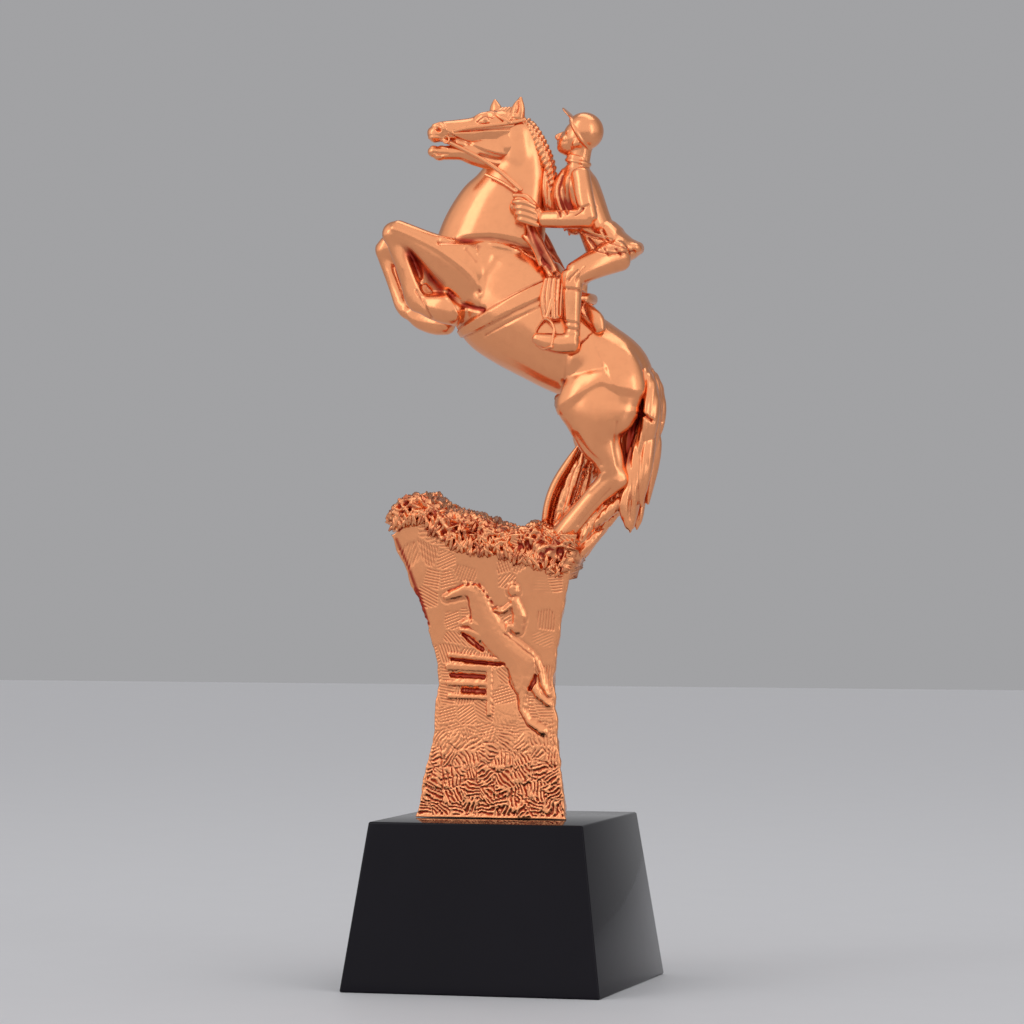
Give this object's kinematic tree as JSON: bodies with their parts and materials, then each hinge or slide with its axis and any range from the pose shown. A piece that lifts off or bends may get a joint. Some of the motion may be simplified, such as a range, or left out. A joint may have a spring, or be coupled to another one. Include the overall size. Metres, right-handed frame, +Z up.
{
  "type": "horse trophy",
  "caption": "Plated casting of a rearing horse with a rider on a rock-topped hourglass pillar with a carved front, standing on a black tapered plinth.",
  "frame": {"origin": "centre of the plinth's underside, on the surface that it stands on", "axes": "+Z up, -Y out of the pillar's carved front, the horse's head towards -X"},
  "size_m": [0.1175, 0.0998, 0.3354],
  "materials": {
    "rose_copper": "polished rose copper plating over a casting",
    "black_polish": "high polish, black"
  },
  "bodies": {
    "root": {"casting": "rose_copper", "plinth": "black_polish"}
  },
  "joints": []
}
